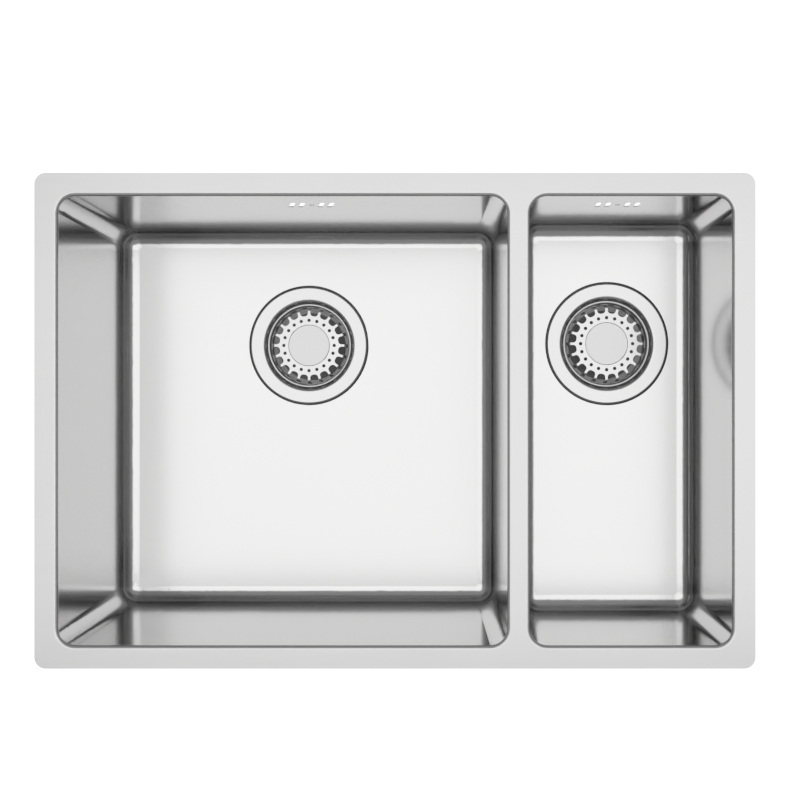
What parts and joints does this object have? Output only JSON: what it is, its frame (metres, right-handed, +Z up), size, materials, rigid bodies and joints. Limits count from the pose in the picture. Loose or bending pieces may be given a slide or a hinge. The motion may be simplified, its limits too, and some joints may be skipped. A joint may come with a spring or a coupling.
{
  "type": "undermount kitchen sink",
  "caption": "Stainless undermount kitchen sink with a square main bowl beside a narrow half bowl, overflow slots, and basket strainer wastes whose strainers lift out and turn.",
  "frame": {"origin": "middle of the rim's top face, which meets the worktop's underside", "axes": "+X to the half bowl's side, +Y to the back wall with the overflow slots, +Z up"},
  "size_m": [0.64, 0.44, 0.2912],
  "materials": {
    "brushed_steel": "fine brushed stainless",
    "pressed_steel": "bright pressed stainless",
    "cap_steel": "satin stainless",
    "fastener_steel": "turned stainless",
    "nut_brass": "machined brass",
    "damping_rubber": "matt damping sheet",
    "seal_rubber": "smooth moulded rubber",
    "plug_rubber": "smooth moulded rubber",
    "housing_plastic": "moulded polypropylene",
    "bush_plastic": "moulded acetal"
  },
  "bodies": {
    "sink": {"rim_flange": "brushed_steel", "main_bowl": "brushed_steel", "main_sound_pad": "damping_rubber", "main_waste_cup": "pressed_steel", "main_flange_seal": "seal_rubber", "main_housing_gasket": "seal_rubber", "main_waste_housing": "housing_plastic", "main_clamp_nut": "nut_brass", "main_clamp_screw": "fastener_steel", "main_clamp_washer": "fastener_steel", "half_bowl": "brushed_steel", "half_sound_pad": "damping_rubber", "half_waste_cup": "pressed_steel", "half_flange_seal": "seal_rubber", "half_housing_gasket": "seal_rubber", "half_waste_housing": "housing_plastic", "half_clamp_nut": "nut_brass", "half_clamp_screw": "fastener_steel", "half_clamp_washer": "fastener_steel"},
    "main_plug": {"main_plug_stem": "fastener_steel", "main_plug_seal": "plug_rubber", "main_stem_clips": "fastener_steel"},
    "main_strainer": {"main_strainer_shell": "pressed_steel", "main_strainer_cap": "cap_steel", "main_strainer_bush": "bush_plastic"},
    "half_plug": {"half_plug_stem": "fastener_steel", "half_plug_seal": "plug_rubber", "half_stem_clips": "fastener_steel"},
    "half_strainer": {"half_strainer_shell": "pressed_steel", "half_strainer_cap": "cap_steel", "half_strainer_bush": "bush_plastic"}
  },
  "joints": [
    {"name": "main_basket_lift", "type": "slide", "parent": "sink", "child": "main_plug", "axis": [0, 0, 1], "range_m": [0, 0.25]},
    {"name": "main_strainer_turn", "type": "hinge", "parent": "main_plug", "child": "main_strainer", "pos_m": [-0.1, 0.076, -0.2], "axis": [0, 0, 1], "continuous": true},
    {"name": "half_basket_lift", "type": "slide", "parent": "sink", "child": "half_plug", "axis": [0, 0, 1], "range_m": [0, 0.21]},
    {"name": "half_strainer_turn", "type": "hinge", "parent": "half_plug", "child": "half_strainer", "pos_m": [0.21, 0.076, -0.16], "axis": [0, 0, 1], "continuous": true}
  ]
}
